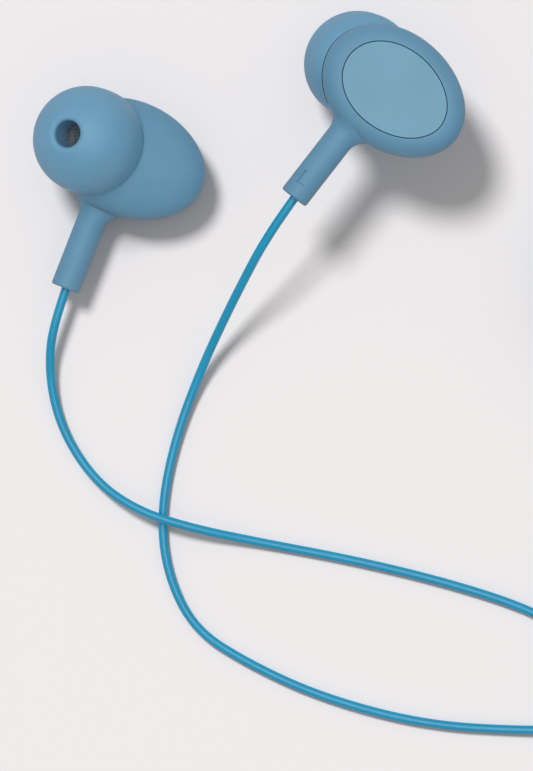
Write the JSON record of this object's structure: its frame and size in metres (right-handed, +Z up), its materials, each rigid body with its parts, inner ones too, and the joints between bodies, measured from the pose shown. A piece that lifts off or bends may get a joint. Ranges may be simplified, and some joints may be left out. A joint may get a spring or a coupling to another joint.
{
  "type": "wired earphones",
  "caption": "Wired in-ear earphones with egg-shaped soft-touch housings, round stems, pull-off silicone tips, thin blue cord and stereo jack plug.",
  "frame": {"origin": "on the surface that the earphones lie on, under the middle of the two earphones' box (cord, splitter and plug not counted)", "axes": "+Z up off the surface, +X along the pair from the right earphone to the left one, +Y away from the stems and cords"},
  "size_m": [0.0852, 0.1009, 0.014],
  "materials": {
    "soft_touch_shell": "matt soft-touch coat, steel blue",
    "soft_touch_cover": "matt soft-touch coat, slightly lighter steel blue",
    "silicone": "matt silicone, steel blue",
    "cord": "smooth satin elastomer, cyan blue",
    "moulded_rubber": "matt moulded elastomer, steel blue",
    "tie": "matt elastomer band",
    "black_plastic": "matt black",
    "plated_steel": "nickel plated",
    "steel_mesh": "fine perforated steel",
    "copper": "enamelled copper wire",
    "film": "thin polymer film",
    "foam": "fine closed-cell foam",
    "damping_fabric": "fine woven damping cloth",
    "board": "green solder mask with tinned pads",
    "crimp": "plain crimped sleeve",
    "plated_contact": "bright nickel plating"
  },
  "bodies": {
    "earphones": {"right_rear_shell": "soft_touch_shell", "right_front_shell": "soft_touch_shell", "right_face_cover": "soft_touch_cover", "right_nozzle_mesh": "steel_mesh", "right_driver_frame": "black_plastic", "right_yoke": "plated_steel", "right_magnet": "plated_steel", "right_pole_plate": "plated_steel", "right_driver_grille": "steel_mesh", "right_driver_gasket": "foam", "right_damping_cloth": "damping_fabric", "right_terminal_board": "board", "right_cord_stop": "crimp", "right_lead_wires": "copper", "left_rear_shell": "soft_touch_shell", "left_front_shell": "soft_touch_shell", "left_face_cover": "soft_touch_cover", "left_nozzle_mesh": "steel_mesh", "left_driver_frame": "black_plastic", "left_yoke": "plated_steel", "left_magnet": "plated_steel", "left_pole_plate": "plated_steel", "left_driver_grille": "steel_mesh", "left_driver_gasket": "foam", "left_damping_cloth": "damping_fabric", "left_terminal_board": "board", "left_cord_stop": "crimp", "left_lead_wires": "copper", "right_cord": "cord", "right_cord_coil": "cord", "right_cord_end": "cord", "left_cord": "cord", "left_cord_coil": "cord", "left_cord_end": "cord", "main_cord": "cord", "main_cord_coil": "cord", "main_cord_end": "cord", "branch_coil_tie": "tie", "main_coil_tie": "tie", "splitter": "moulded_rubber", "plug_relief": "moulded_rubber", "plug_grip": "moulded_rubber", "jack_sleeve": "plated_contact", "jack_ring": "plated_contact", "jack_tip": "plated_contact", "jack_insulators": "black_plastic"},
    "right_tip": {"right_ear_tip": "silicone"},
    "right_voice": {"right_voice_coil": "copper", "right_diaphragm": "film"},
    "left_tip": {"left_ear_tip": "silicone"},
    "left_voice": {"left_voice_coil": "copper", "left_diaphragm": "film"}
  },
  "joints": [
    {"name": "right_tip_pull", "type": "slide", "parent": "earphones", "child": "right_tip", "axis": [-0.3621, 0.0802, 0.9287], "range_m": [0, 0.008]},
    {"name": "right_diaphragm_travel", "type": "slide", "parent": "earphones", "child": "right_voice", "axis": [0, 0, 1], "range_m": [-0.00015, 0.00015], "stiffness_N_per_m": 12},
    {"name": "left_tip_pull", "type": "slide", "parent": "earphones", "child": "left_tip", "axis": [-0.3244, 0.1798, -0.9287], "range_m": [0, 0.008]},
    {"name": "left_diaphragm_travel", "type": "slide", "parent": "earphones", "child": "left_voice", "axis": [0, 0, -1], "range_m": [-0.00015, 0.00015], "stiffness_N_per_m": 12}
  ]
}
